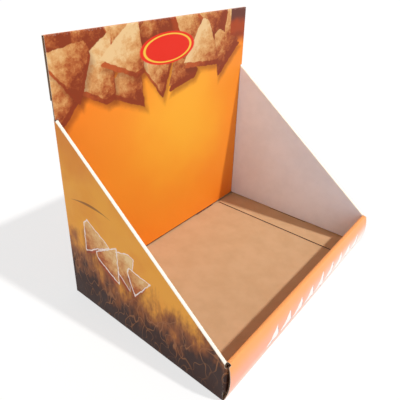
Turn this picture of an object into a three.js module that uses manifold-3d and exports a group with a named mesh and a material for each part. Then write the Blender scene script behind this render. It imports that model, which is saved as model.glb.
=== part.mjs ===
// A counter display box folded and glued from one sheet of E-flute board, in millimetres, Z up.
// The origin is the centre of the base's underside, midway between the side walls' front and
// back ends. X runs across the box, Y from the front lip to the back, Z up to the header.
//
// How the sheet folds: the left wall, the back and the right wall follow one another round the
// box. The base hangs on the left wall, and the right wall's bottom flange is glued on it. The
// side walls roll over their slanted tops, the back rolls over the header's top, and the lip,
// which hangs on the base's front edge, rolls over its own top. Each rolled-over panel has a
// tab that locks into a slot in the floor.
import * as THREE from 'three';
import { mergeVertices } from 'three/addons/utils/BufferGeometryUtils.js';
import Module from 'manifold-3d';

const wasm = await Module();
wasm.setup();

// The box's outer sizes
const boxWidth = 320;
const boxDepth = 217;
const headerHeight = 296;
const sideBackHeight = 217;
const sideFrontHeight = 49;

// The board and the slack that its folds leave
const board = 1.6;
const sideSlack = 0.3;
const headerSlack = 0.5;
const clearance = 0.3;
const foldRadius = 1.2;
const cornerFoldRadius = 2;

// The hollow front lip: its inner face stands lipSetBack behind the side walls' front ends
const lipHeight = 49;
const lipThickness = 5.2;
const lipSetBack = 0.8;
const lipFootReach = 2;
const lipBow = 3.6;
const lipFoldRadius = 2;
const edgeInset = 0.8;
const lipCrestInset = 3.5;
const lipInnerInset = 4;

// The side walls' corner flaps, which are tucked into the lip
const flapLength = 38;
const flapFoot = 12;
const flapDrop = 5;
const flapBendRadius = 2.4;

// How far below its top a side wall's rolled part reaches
const rollDrop = 3;
const rollLeg = 8;

// The glue flange under the right wall, and the relief cuts beside the header's foot
const flangeWidth = 42;
const flangeBackGap = 3;
const glueOverlap = 0.05;
const reliefHeight = 19;
const reliefDepth = 1.5;

// The locking tabs and their slots
const sideTabWidth = 60;
const backTabWidth = 40;
const backTabSpacing = 170;
const lipTabWidth = 36;
const lipTabSpacing = 150;
const tabFootGap = 0.3;
const tabRoot = 6;

// How fine the round folds and the bowed lip are, and how near two corners are one
const foldSteps = 5;
const bowSteps = 14;
const weldDistance = 1e-5;

// How far a cutting block reaches past the sheet, sideways or up, and down
const margin = 16;
const marginBelow = 1;

const halfWidth = boxWidth / 2;
const frontY = -boxDepth / 2;
const backY = boxDepth / 2;
const sideThickness = 2 * board + sideSlack;
const backThickness = 2 * board + headerSlack;
const slopeBackY = backY - backThickness;
const insideBackY = backY - board - clearance;
const foldEndY = backY - cornerFoldRadius - clearance;
const lipInnerY = frontY + lipSetBack;
const lipOuterY = lipInnerY - lipThickness;
const lipFootY = frontY - lipFootReach;
const floorZ = board;
const flangeTopZ = 2 * board;
const flangeBackY = slopeBackY - flangeBackGap;
const lipRootY = frontY + 3 * board;
const leftEnd = -halfWidth - margin;
const rightEnd = halfWidth + margin;
const frontEnd = frontY - margin;
const backEnd = backY + margin;
const topEnd = headerHeight + margin;
const bottomEnd = -marginBelow;

// Solids, joined and cut

function solidOf(geometry) {
  const bare = geometry.clone();
  bare.deleteAttribute('normal');
  bare.deleteAttribute('uv');
  const merged = mergeVertices(bare, weldDistance);
  const mesh = new wasm.Mesh({
    numProp: 3,
    vertProperties: new Float32Array(merged.attributes.position.array),
    triVerts: new Uint32Array(merged.index.array),
  });
  return new wasm.Manifold(mesh);
}

function geometryOf(solid) {
  const mesh = solid.getMesh();
  const positions = new Float32Array(mesh.vertProperties);
  const geometry = new THREE.BufferGeometry();
  geometry.setAttribute('position', new THREE.BufferAttribute(positions, 3));
  geometry.setIndex(new THREE.BufferAttribute(new Uint32Array(mesh.triVerts), 1));
  geometry.computeVertexNormals();
  return geometry;
}

function joined(solids) {
  return solids.reduce((whole, solid) => whole.add(solid));
}

function without(solid, cutters) {
  return cutters.reduce((rest, cutter) => rest.subtract(cutter), solid);
}

function block(x0, x1, y0, y1, z0, z1) {
  const geometry = new THREE.BoxGeometry(x1 - x0, y1 - y0, z1 - z0);
  geometry.translate((x0 + x1) / 2, (y0 + y1) / 2, (z0 + z1) / 2);
  return solidOf(geometry);
}

// A block from the given distance off the middle outwards, on one side
function beyond(side, inner, y0, y1, z0, z1) {
  const outer = halfWidth + margin;
  return side < 0 ? block(-outer, -inner, y0, y1, z0, z1) : block(inner, outer, y0, y1, z0, z1);
}

const alongAxis = {
  x: new THREE.Vector3(1, 0, 0),
  y: new THREE.Vector3(0, 1, 0),
  z: new THREE.Vector3(0, 0, 1),
};

function extruded(shape, length, basis, start) {
  const options = { depth: length, bevelEnabled: false, curveSegments: foldSteps };
  const geometry = new THREE.ExtrudeGeometry(shape, options);
  const matrix = new THREE.Matrix4().makeBasis(...basis).setPosition(start);
  geometry.applyMatrix4(matrix);
  return solidOf(geometry);
}

// A shape drawn in X and Y, extruded up from z0 to z1
function alongZ(shape, z0, z1) {
  return extruded(shape, z1 - z0, [alongAxis.x, alongAxis.y, alongAxis.z], new THREE.Vector3(0, 0, z0));
}

// A shape drawn in Y and Z, extruded across from x0 to x1
function alongX(shape, x0, x1) {
  return extruded(shape, x1 - x0, [alongAxis.y, alongAxis.z, alongAxis.x], new THREE.Vector3(x0, 0, 0));
}

// A shape drawn in X and Z, extruded from y1 forward to y0
function alongY(shape, y0, y1) {
  const forward = alongAxis.y.clone().negate();
  return extruded(shape, y1 - y0, [alongAxis.x, alongAxis.z, forward], new THREE.Vector3(0, y1, 0));
}

// Shapes of bent board

function polygon(points) {
  return new THREE.Shape(points.map(([a, b]) => new THREE.Vector2(a, b)));
}

// The outline of a strip of board: one face follows the given points, the other lies a board's
// thickness to their left
function strip(points) {
  const normals = points.map((point, i) => {
    const before = points[Math.max(i - 1, 0)];
    const after = points[Math.min(i + 1, points.length - 1)];
    const inward = new THREE.Vector2().subVectors(point, before).normalize();
    const outward = new THREE.Vector2().subVectors(after, point).normalize();
    if (i === 0) {
      inward.copy(outward);
    }
    if (i === points.length - 1) {
      outward.copy(inward);
    }
    const along = new THREE.Vector2().addVectors(inward, outward).normalize();
    const mitre = 1 / along.dot(outward);
    return new THREE.Vector2(-along.y, along.x).multiplyScalar(mitre);
  });
  const inner = points.map((point, i) => point.clone().addScaledVector(normals[i], board));
  return new THREE.Shape([...points, ...inner.reverse()]);
}

// Points of an arc, by its centre, radius and first and last angle in quarter turns
function arc(x, y, radius, first, last, steps = foldSteps) {
  return Array.from({ length: steps + 1 }, (_, i) => {
    const angle = (first + ((last - first) * i) / steps) * (Math.PI / 2);
    return new THREE.Vector2(x + radius * Math.cos(angle), y + radius * Math.sin(angle));
  });
}

// The corner that a round fold leaves empty, for a fold whose outer corner is (x, y) and whose
// board lies towards the signs given
function roundedCorner(x, y, signX, signY, radius) {
  const outsideX = x - signX * marginBelow;
  const outsideY = y - signY * marginBelow;
  const round = Array.from({ length: foldSteps + 1 }, (_, i) => {
    const angle = (Math.PI / 2) * (i / foldSteps);
    const roundX = x + signX * radius * (1 - Math.sin(angle));
    const roundY = y + signY * radius * (1 - Math.cos(angle));
    return [roundX, roundY];
  });
  const corner = [[outsideX, outsideY], [x + signX * radius, outsideY]];
  return polygon([...corner, ...round, [outsideX, y + signY * radius]]);
}

// A rolled-over top: two legs a board thick joined by a strip with round corners, its top at 0
function rolledTop(width, legLength) {
  const half = width / 2;
  const shape = new THREE.Shape();
  shape.moveTo(-half, -legLength);
  shape.lineTo(-half + board, -legLength);
  shape.lineTo(-half + board, -board);
  shape.lineTo(half - board, -board);
  shape.lineTo(half - board, -legLength);
  shape.lineTo(half, -legLength);
  shape.lineTo(half, -foldRadius);
  shape.absarc(half - foldRadius, -foldRadius, foldRadius, 0, Math.PI / 2, false);
  shape.lineTo(-half + foldRadius, 0);
  shape.absarc(-half + foldRadius, -foldRadius, foldRadius, Math.PI / 2, Math.PI, false);
  return shape;
}

// A side wall's outline in Y and Z, its top lowered by drop
function sideOutline(y0, y1, z0, drop) {
  const slope = (sideBackHeight - sideFrontHeight) / (slopeBackY - frontY);
  const heightAt = (y) => sideFrontHeight + slope * (Math.min(y, slopeBackY) - frontY) - drop;
  const points = [[y0, z0], [y1, z0], [y1, heightAt(y1)]];
  if (y1 > slopeBackY) {
    points.push([slopeBackY, heightAt(slopeBackY)]);
  }
  points.push([y0, heightAt(y0)]);
  return polygon(points);
}

// The left wall, back and right wall in one strip with their vertical folds
function wallStrip() {
  const left = -halfWidth;
  const right = halfWidth;
  const path = [
    new THREE.Vector2(right, frontY),
    ...arc(right - cornerFoldRadius, backY - cornerFoldRadius, cornerFoldRadius, 0, 1),
    ...arc(left + cornerFoldRadius, backY - cornerFoldRadius, cornerFoldRadius, 1, 2),
    new THREE.Vector2(left, frontY),
  ];
  const whole = alongZ(strip(path), 0, sideBackHeight);
  const sideShape = sideOutline(frontY - board, slopeBackY, bottomEnd, rollDrop);
  const sideKeep = alongX(sideShape, leftEnd, rightEnd);
  const backKeep = block(leftEnd, rightEnd, slopeBackY, backEnd, bottomEnd, sideBackHeight);
  const edgeX = halfWidth - cornerFoldRadius;
  const underFlange = block(edgeX, rightEnd, frontEnd, backEnd, bottomEnd, floorZ);
  const behindFlange = block(edgeX, rightEnd, flangeBackY, backEnd, bottomEnd, floorZ + clearance);
  return without(whole.intersect(sideKeep.add(backKeep)), [underFlange, behindFlange]);
}

// A side wall's rolled top and its inner panel; side is -1 on the left and 1 on the right
function sideRoll(side, floor) {
  const middleX = side * (halfWidth - sideThickness / 2);
  const start = new THREE.Vector3(middleX, frontY, sideFrontHeight);
  const slope = new THREE.Vector3(0, slopeBackY - frontY, sideBackHeight - sideFrontHeight);
  const along = slope.clone().normalize();
  const across = alongAxis.x.clone().negate();
  const up = new THREE.Vector3().crossVectors(along, across);
  start.addScaledVector(along, -margin);
  const rollLength = slope.length() + 2 * margin;
  const roll = extruded(rolledTop(sideThickness, rollLeg), rollLength, [across, up, along], start);
  const trim = block(leftEnd, rightEnd, frontY, slopeBackY - clearance, bottomEnd, topEnd);

  const innerFace = halfWidth - sideThickness;
  const panelX = [side * innerFace, side * (innerFace + board)].sort((a, b) => a - b);
  const panelShape = sideOutline(frontY, insideBackY, floor + clearance, rollDrop);
  const panel = alongX(panelShape, ...panelX);
  const tab = block(...panelX, -sideTabWidth / 2, sideTabWidth / 2, tabFootGap, tabRoot);
  return joined([roll.intersect(trim), panel, tab]);
}

// A slot through the floor
function slot(x0, x1, y0, y1) {
  return block(x0, x1, y0, y1, bottomEnd, flangeTopZ + clearance);
}

// The base, the right wall's glue flange on it and the slots for the side walls' tabs
function floorPanels() {
  const right = halfWidth - edgeInset;
  const seamX = halfWidth - flangeWidth;
  const base = block(-halfWidth, right, frontY, insideBackY, 0, floorZ);
  const flange = block(seamX, right, frontY, flangeBackY, floorZ - glueOverlap, flangeTopZ);
  const slotInner = halfWidth - sideThickness - clearance;
  const slotOuter = halfWidth - board;
  const slotEnd = sideTabWidth / 2 + clearance;
  const leftSlot = slot(-slotOuter, -slotInner, -slotEnd, slotEnd);
  const rightSlot = slot(slotInner, slotOuter, -slotEnd, slotEnd);
  const reliefX = -halfWidth + cornerFoldRadius + clearance;
  const cornerRelief = block(leftEnd, reliefX, foldEndY, backEnd, bottomEnd, flangeTopZ);
  return without(base.add(flange), [cornerRelief, leftSlot, rightSlot]);
}

// Two tabs, their middles the spacing apart, from a panel whose front face stands at frontFace
function tabPair(spacing, width, frontFace) {
  return [-1, 1].map((side) => {
    const x = (side * spacing) / 2;
    const [x0, x1] = [x - width / 2, x + width / 2];
    return block(x0, x1, frontFace, frontFace + board, tabFootGap, tabRoot);
  });
}

// The header: the back panel rolled over its top and down inside to the floor
function header() {
  const middleY = backY - backThickness / 2;
  const basis = [alongAxis.y.clone().negate(), alongAxis.z, alongAxis.x.clone().negate()];
  const start = new THREE.Vector3(halfWidth, middleY, headerHeight);
  const legLength = headerHeight - floorZ - clearance;
  const whole = extruded(rolledTop(backThickness, legLength), boxWidth, basis, start);
  const outerFront = backY - board - headerSlack / 2;
  const reliefTop = sideBackHeight + reliefHeight;
  const innerEdge = halfWidth - sideThickness - clearance;
  const flangeEdge = halfWidth - flangeWidth - clearance;
  const cuts = [-1, 1].flatMap((side) => {
    return [
      beyond(side, halfWidth - reliefDepth, outerFront, backEnd, sideBackHeight, reliefTop),
      beyond(side, halfWidth - cornerFoldRadius, outerFront, backEnd, bottomEnd, sideBackHeight),
      beyond(side, innerEdge, frontEnd, outerFront, bottomEnd, sideBackHeight + clearance),
    ];
  });
  const aboveFlange = flangeTopZ + clearance;
  const overFlange = block(flangeEdge, rightEnd, frontEnd, outerFront, bottomEnd, aboveFlange);
  const tabs = tabPair(backTabSpacing, backTabWidth, slopeBackY);
  return joined([without(whole, [...cuts, overFlange]), ...tabs]);
}

// The slots for the header's and the lip's tabs
function floorSlots() {
  return [-1, 1].flatMap((side) => {
    const backX = (side * backTabSpacing) / 2;
    const backHalf = backTabWidth / 2 + clearance;
    const lipX = (side * lipTabSpacing) / 2;
    const lipHalf = lipTabWidth / 2 + clearance;
    return [
      slot(backX - backHalf, backX + backHalf, slopeBackY - clearance, backEnd),
      slot(lipX - lipHalf, lipX + lipHalf, lipInnerY - board - clearance, lipInnerY + clearance),
    ];
  });
}

// The lip's outer face in Y and Z, from the base's front fold up over the crest and down inside
function lipPath() {
  const bow = Array.from({ length: bowSteps + 1 }, (_, i) => {
    const share = i / bowSteps;
    const z = lipFoldRadius + (lipHeight - 2 * lipFoldRadius) * share;
    const chord = lipFootY + (lipOuterY - lipFootY) * share;
    return new THREE.Vector2(chord - lipBow * 4 * share * (1 - share), z);
  });
  const crest = lipHeight - lipFoldRadius;
  return [
    new THREE.Vector2(lipRootY, 0),
    ...arc(lipFootY + lipFoldRadius, lipFoldRadius, lipFoldRadius, -1, -2).slice(0, -1),
    ...bow,
    ...arc(lipOuterY + lipFoldRadius, crest, lipFoldRadius, 2, 1).slice(1),
    ...arc(lipInnerY - lipFoldRadius, crest, lipFoldRadius, 1, 0),
    new THREE.Vector2(lipInnerY, floorZ + clearance),
  ];
}

function lip() {
  const path = lipPath();
  const outline = strip(path.reverse());
  const outer = halfWidth - edgeInset;
  const whole = alongX(outline, -outer, outer);
  const innerFront = lipInnerY - board - clearance;
  const aboveBase = floorZ + clearance / 2;
  const crestFoot = lipHeight - board - lipFoldRadius;
  const cuts = [-1, 1].flatMap((side) => {
    return [
      beyond(side, halfWidth - lipInnerInset, innerFront, backEnd, aboveBase, topEnd),
      beyond(side, halfWidth - lipCrestInset, lipOuterY + board, backEnd, crestFoot, topEnd),
    ];
  });
  const flangeEdge = halfWidth - flangeWidth - clearance;
  const aboveFlange = flangeTopZ + clearance;
  const overFlange = block(flangeEdge, rightEnd, innerFront, backEnd, aboveBase, aboveFlange);
  const tabs = tabPair(lipTabSpacing, lipTabWidth, lipInnerY - board);
  return { body: without(whole, [...cuts, overFlange]), tabs };
}

// A side wall's corner flap, bent round the front corner and tucked into the lip
function cornerFlap(side) {
  const bendX = halfWidth - board - (flapBendRadius - board / 2);
  const outerRadius = flapBendRadius + board / 2;
  const flapFace = lipInnerY - 2 * board - clearance;
  const bendY = flapFace + outerRadius;
  const path = [
    new THREE.Vector2(-halfWidth, bendY + 2 * board),
    ...arc(-bendX, bendY, outerRadius, 2, 3),
    new THREE.Vector2(-halfWidth + flapLength, flapFace),
  ];
  const flap = alongZ(strip(path), flapFoot, sideFrontHeight - flapDrop);
  return side < 0 ? flap : flap.mirror([1, 0, 0]);
}

function displayBox() {
  const lipPieces = lip();
  const floor = without(floorPanels().add(lipPieces.body), floorSlots());
  const folded = joined([
    wallStrip(),
    floor,
    header(),
    sideRoll(-1, floorZ),
    sideRoll(1, flangeTopZ),
    cornerFlap(-1),
    cornerFlap(1),
    ...lipPieces.tabs,
  ]);
  const leftRound = roundedCorner(-halfWidth, 0, 1, 1, foldRadius);
  const rightRound = roundedCorner(halfWidth, floorZ, -1, 1, foldRadius);
  const leftFold = alongY(leftRound, frontEnd, foldEndY);
  const rightFold = alongY(rightRound, frontEnd, foldEndY);
  return without(folded, [leftFold, rightFold]);
}

const display = new THREE.Group();
const printedBoard = new THREE.MeshStandardMaterial({ color: 0xf39a3c, roughness: 0.4, metalness: 0 });
const sheet = new THREE.Mesh(geometryOf(displayBox()), printedBoard);
sheet.name = 'display_box';
display.add(sheet);

export default display;
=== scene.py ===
"""Dresses a counter display box: one folded and glued sheet of printed E-flute board.

Sizes are in millimetres and become metres when a mesh is made. X runs across the box, Y from
the front lip to the back, and Z up to the header.
"""

import logging
import math
from collections.abc import Callable, Sequence
from dataclasses import dataclass, field
from enum import Enum

import bmesh
import bpy
from mathutils import Matrix, Vector

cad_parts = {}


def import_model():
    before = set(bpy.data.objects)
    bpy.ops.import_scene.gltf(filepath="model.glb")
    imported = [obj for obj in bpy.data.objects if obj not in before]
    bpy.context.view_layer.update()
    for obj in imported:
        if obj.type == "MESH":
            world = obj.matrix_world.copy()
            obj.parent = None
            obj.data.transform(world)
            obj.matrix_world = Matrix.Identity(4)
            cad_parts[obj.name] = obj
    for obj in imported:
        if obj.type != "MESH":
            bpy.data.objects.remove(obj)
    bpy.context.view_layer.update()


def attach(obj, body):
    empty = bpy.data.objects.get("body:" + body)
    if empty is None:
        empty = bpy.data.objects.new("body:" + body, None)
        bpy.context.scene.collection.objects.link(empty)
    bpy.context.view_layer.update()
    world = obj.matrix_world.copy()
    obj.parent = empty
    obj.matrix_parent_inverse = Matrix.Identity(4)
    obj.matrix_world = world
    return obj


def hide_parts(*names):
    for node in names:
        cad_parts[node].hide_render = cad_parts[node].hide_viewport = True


LOG = logging.getLogger("display_box")
MM = 0.001
NODE = "display_box"
# Nearness to a fold or cut edge: it places the pale fold cracks and the painted highlight on the
# rolled tops.
FOLD_WEAR_AND_HIGHLIGHT = "fold_wear_and_highlight"
DEPTH = "board_depth"
FLUTE_PITCH = 3.2

Point = tuple[float, float]
Socket = bpy.types.NodeSocket
Value = Socket | float | Sequence[float]


class Finish(Enum):
    """The finishes that a face of the sheet can have, in the order of the mesh's materials."""

    SIDE_PRINT = 0
    HEADER_PRINT = 1
    BACK_PRINT = 2
    LIP_PRINT = 3
    WHITE = 4
    KRAFT = 5
    CUT_EDGE = 6


class Stretch(Enum):
    """The stretches of a folded panel's section, on the way along the sheet."""

    FLOOR = "on the floor"
    FOOT = "bend or end at the foot"
    CORNER = "bend from the floor into a wall"
    WALL = "outer wall"
    RISE = "outer back"
    BOW = "bowed outer face"
    OUTER = "outer bend at the top"
    OVER = "inner bend of the header's top"
    INNER = "inner bend at the top"
    FALL = "inner face down to the foot"


def tone(code: str) -> tuple[float, float, float, float]:
    """Turns a colour as it looks on screen into the linear colour that a shader takes.

    Args:
        code: Six hexadecimal digits.

    Returns:
        Linear red, green and blue, and 1.
    """
    shown = [int(code[i:i + 2], 16) / 255 for i in (0, 2, 4)]
    red, green, blue = (c / 12.92 if c <= 0.04045 else ((c + 0.055) / 1.055) ** 2.4 for c in shown)
    return red, green, blue, 1.0


@dataclass(frozen=True)
class BoxSizes:
    """The sheet's folded sizes, the same as the solid's."""

    width: float = 320
    depth: float = 217
    header_height: float = 296
    side_back_height: float = 217
    side_front_height: float = 49
    board: float = 1.6
    side_slack: float = 0.3
    header_slack: float = 0.5
    clearance: float = 0.3
    fold_radius: float = 1.2
    corner_radius: float = 2
    lip_height: float = 49
    lip_thickness: float = 5.2
    lip_set_back: float = 0.8
    lip_foot_reach: float = 2
    lip_bow: float = 3.6
    lip_radius: float = 2
    edge_inset: float = 0.8
    lip_crest_inset: float = 3.5
    lip_inner_inset: float = 4
    flap_length: float = 38
    flap_foot: float = 12
    flap_drop: float = 5
    flap_bend_radius: float = 2.4
    flange_width: float = 42
    flange_back_gap: float = 3
    foot_gap: float = 1.5
    relief_height: float = 19
    relief_depth: float = 1.5
    side_tab_width: float = 60
    back_tab_width: float = 40
    back_tab_spacing: float = 170
    lip_tab_width: float = 36
    lip_tab_spacing: float = 150
    tab_foot_gap: float = 0.3
    tab_root: float = 6

    @property
    def half(self) -> float:
        """Half the box's width."""
        return self.width / 2

    @property
    def front(self) -> float:
        """Where the side walls end at the front."""
        return -self.depth / 2

    @property
    def back(self) -> float:
        """The back's outer face."""
        return self.depth / 2

    @property
    def side_thickness(self) -> float:
        """A side wall's two layers and their slack."""
        return 2 * self.board + self.side_slack

    @property
    def back_thickness(self) -> float:
        """The header's two layers and their slack."""
        return 2 * self.board + self.header_slack

    @property
    def slope_back(self) -> float:
        """The printed front panel's face, where the side walls' slope ends."""
        return self.back - self.back_thickness

    @property
    def lip_inner(self) -> float:
        """The lip's inner face."""
        return self.front + self.lip_set_back

    @property
    def lip_outer(self) -> float:
        """The lip's outer face at its crest."""
        return self.lip_inner - self.lip_thickness

    @property
    def lip_foot(self) -> float:
        """The lip's outer face at its foot."""
        return self.front - self.lip_foot_reach

    @property
    def slope_rise(self) -> float:
        """The side walls' rise for each millimetre towards the back."""
        return (self.side_back_height - self.side_front_height) / (self.slope_back - self.front)

    def side_top(self, y: float) -> float:
        """Gives a side wall's height at a place along it."""
        return self.side_front_height + self.slope_rise * (min(y, self.slope_back) - self.front)

    def slot_ends(self, spacing: float, width: float) -> list[float]:
        """Gives where the two slots for a pair of tabs begin and end across the box."""
        reach = width / 2 + self.clearance
        return [side * spacing / 2 + end * reach for side in (-1, 1) for end in (-1, 1)]

    def in_slot_pair(self, x: float, spacing: float, width: float) -> bool:
        """Says whether a place across the box lies in one of a pair of slots."""
        return abs(abs(x) - spacing / 2) < width / 2 + self.clearance


def arc(centre: Point, radius: float, first: float, last: float, steps: int = 6) -> list[Point]:
    """Makes the points of an arc.

    Args:
        centre: The arc's centre.
        radius: Its radius.
        first: The first point's angle, in quarter turns.
        last: The last point's angle, in quarter turns.
        steps: How many chords the arc has.

    Returns:
        The points, both ends included.
    """
    angles = [(first + (last - first) * i / steps) * math.pi / 2 for i in range(steps + 1)]
    return [(centre[0] + radius * math.cos(a), centre[1] + radius * math.sin(a)) for a in angles]


def lines_between(low: float, high: float, step: float, stops: Sequence[float] = ()) -> list[float]:
    """Makes grid lines from low to high, close to even, with one line at each stop.

    Args:
        low: The first line.
        high: The last line.
        step: The widest space between two lines.
        stops: Places inside that need a line.

    Returns:
        The lines in rising order.
    """
    marks = sorted({low, high, *[stop for stop in stops if low < stop < high]})
    lines = [low]
    for start, end in zip(marks, marks[1:]):
        count = max(1, math.ceil((end - start) / step))
        lines += [start + (end - start) * i / count for i in range(1, count + 1)]
    return lines


def inner_side(path: Sequence[Point], thickness: float, side: int) -> list[Point]:
    """Offsets a path of board from its print side to its inner side, with mitred corners.

    Args:
        path: The print side's points.
        thickness: The board's thickness.
        side: 1 where the board lies left of the path, -1 where it lies right.

    Returns:
        The inner side's points, one for each point of the path.
    """
    points = [Vector(point) for point in path]
    steps = [(end - start).normalized() for start, end in zip(points, points[1:])]
    found = []
    for i, point in enumerate(points):
        before = steps[max(i - 1, 0)]
        after = steps[min(i, len(steps) - 1)]
        along = (before + after).normalized()
        reach = side * thickness / along.dot(after)
        found.append((point.x - along.y * reach, point.y + along.x * reach))
    return found


@dataclass
class Panel:
    """A stretch of board drawn as a grid, with its print face, inner face and cut edges."""

    rows: int
    columns: int
    place: Callable[[int, int], tuple[Vector, Vector]]
    printed: Callable[[int, int], Finish]
    keep: Callable[[int, int], bool] = lambda i, j: True
    folds: Callable[[int, int], float] = lambda i, j: 0.0

    def add_to(self, mesh: bmesh.types.BMesh) -> None:
        """Adds the panel's closed shell to a mesh.

        Args:
            mesh: The mesh that takes the faces, with its wear and depth layers.
        """
        wear = mesh.verts.layers.float[FOLD_WEAR_AND_HIGHLIGHT]
        depth = mesh.verts.layers.float[DEPTH]
        made: dict[tuple[int, int, int], bmesh.types.BMVert] = {}
        kept = {
            (i, j)
            for i in range(self.rows - 1)
            for j in range(self.columns - 1)
            if self.keep(i, j)
        }

        def vertex(i: int, j: int, layer: int) -> bmesh.types.BMVert:
            """Gives the vertex of a grid point on one face, making it if it is new.

            Args:
                i: Its row in the grid.
                j: Its column in the grid.
                layer: 0 for the print face and 1 for the inner face.

            Returns:
                The vertex.
            """
            key = (i, j, layer)
            if key not in made:
                point = self.place(i, j)[layer]
                made[key] = mesh.verts.new(point * MM)
                around = [(i - down, j - left) in kept for down in (0, 1) for left in (0, 1)]
                made[key][wear] = 1.0 if not all(around) else self.folds(i, j)
                made[key][depth] = layer
            return made[key]

        def face(corners: Sequence[tuple[int, int, int]], finish: Finish) -> None:
            """Adds one face with its finish.

            Args:
                corners: The row, column and layer of each corner.
                finish: The face's finish.
            """
            new = mesh.faces.new([vertex(*corner) for corner in corners])
            new.material_index = finish.value
            new.smooth = finish is not Finish.CUT_EDGE

        for i, j in sorted(kept):
            ring = [(i, j), (i + 1, j), (i + 1, j + 1), (i, j + 1)]
            face([(*spot, 0) for spot in ring], self.printed(i, j))
            face([(*spot, 1) for spot in reversed(ring)], Finish.KRAFT)
            beside = [(i, j - 1), (i + 1, j), (i, j + 1), (i - 1, j)]
            for corner in range(4):
                if beside[corner] not in kept:
                    near = ring[corner]
                    far = ring[(corner + 1) % 4]
                    face([(*far, 0), (*near, 0), (*near, 1), (*far, 1)], Finish.CUT_EDGE)


def block(low: Vector, high: Vector, printed_axis: int, printed_side: int, finish: Finish) -> Panel:
    """Makes a straight stretch of board as a panel, such as a locking tab.

    Args:
        low: Its lowest corner.
        high: Its highest corner.
        printed_axis: The axis that its print face looks along.
        printed_side: 1 where the print face is the higher one, -1 where it is the lower.
        finish: The print face's finish.

    Returns:
        The panel.
    """
    across = [axis for axis in range(3) if axis != printed_axis]

    def place(i: int, j: int) -> tuple[Vector, Vector]:
        """Gives a corner on the print face and the one behind it.

        Args:
            i: Its row in the grid.
            j: Its column in the grid.

        Returns:
            The two corners.
        """
        point = low.copy()
        point[across[0]] = (low, high)[i][across[0]]
        point[across[1]] = (low, high)[j][across[1]]
        ends = [point.copy(), point.copy()]
        ends[0][printed_axis] = (high if printed_side > 0 else low)[printed_axis]
        ends[1][printed_axis] = (low if printed_side > 0 else high)[printed_axis]
        return ends[0], ends[1]

    return Panel(2, 2, place, lambda i, j: finish)


def nearness(lines: Sequence[float], stops: Sequence[float], reach: float) -> list[float]:
    """Says for each grid line how near it lies to a fold, from 0 to 1."""
    return [max(0.0, 1 - min(abs(line - stop) for stop in stops) / reach) for line in lines]


@dataclass
class SheetPart:
    """What every stretch of the folded sheet shares: its sizes, its name and how it is made."""

    name: str
    sizes: BoxSizes
    reach: float = 2.5
    step: float = 6.0

    def panels(self) -> list[Panel]:
        """Gives the part's panels; each kind of part has its own."""
        raise NotImplementedError

    def build(self, materials: dict[Finish, bpy.types.Material]) -> bpy.types.Object:
        """Makes the part's mesh, dresses it and sets it in the frame.

        Args:
            materials: The material of each finish.

        Returns:
            The new object.
        """
        mesh = bmesh.new()
        mesh.verts.layers.float.new(FOLD_WEAR_AND_HIGHLIGHT)
        mesh.verts.layers.float.new(DEPTH)
        for panel in self.panels():
            panel.add_to(mesh)
        bmesh.ops.recalc_face_normals(mesh, faces=mesh.faces)
        data = bpy.data.meshes.new(self.name)
        mesh.to_mesh(data)
        mesh.free()
        for finish in Finish:
            data.materials.append(materials[finish])
        data.set_sharp_from_angle(angle=math.radians(40))
        piece = bpy.data.objects.new(self.name, data)
        bpy.context.scene.collection.objects.link(piece)
        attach(piece, "root")
        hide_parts(NODE)
        LOG.info("%s: %d faces", self.name, len(data.polygons))
        return piece


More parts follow.
